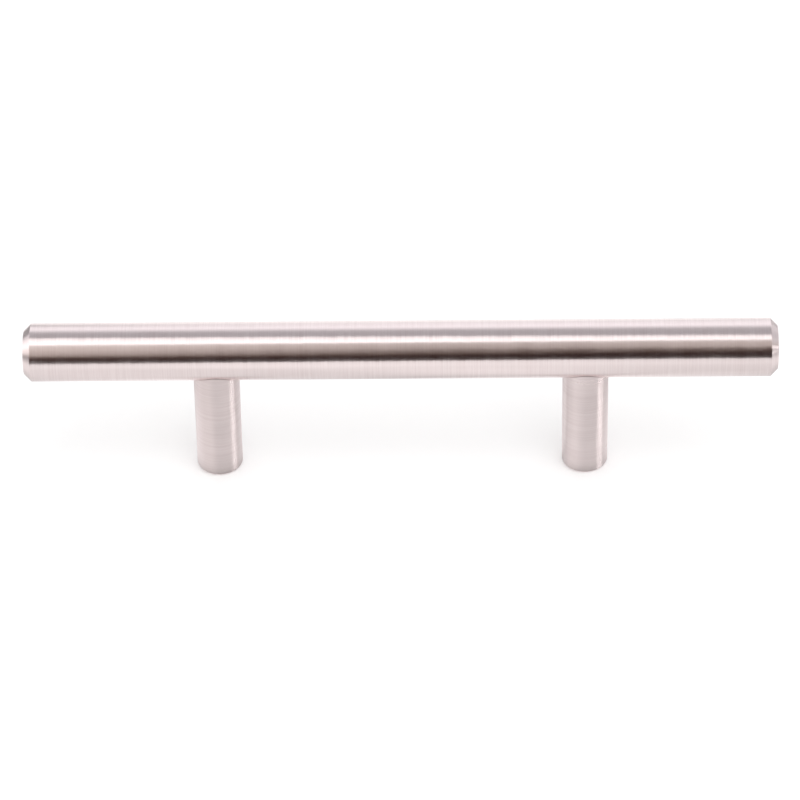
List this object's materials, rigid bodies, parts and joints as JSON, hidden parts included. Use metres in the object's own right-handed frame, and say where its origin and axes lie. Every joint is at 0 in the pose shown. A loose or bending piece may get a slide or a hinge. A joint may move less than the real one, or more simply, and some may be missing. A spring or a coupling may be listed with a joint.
{
  "type": "t bar cabinet pull",
  "caption": "Straight round bar pull that overhangs two round posts, with a tapped hole in the base of each post for a screw through the door.",
  "frame": {"origin": "on the mounting face, midway between the two posts", "axes": "+Z away from the door, +X along the bar, and +Y across it"},
  "size_m": [0.155, 0.012, 0.035],
  "materials": {
    "brushed_bar": "satin, brushed round the bar",
    "brushed_post": "satin, brushed round the post",
    "screw_steel": "black oxide"
  },
  "bodies": {
    "root": {"bar": "brushed_bar", "left_post": "brushed_post", "right_post": "brushed_post", "left_set_screw": "screw_steel", "right_set_screw": "screw_steel"}
  },
  "joints": []
}
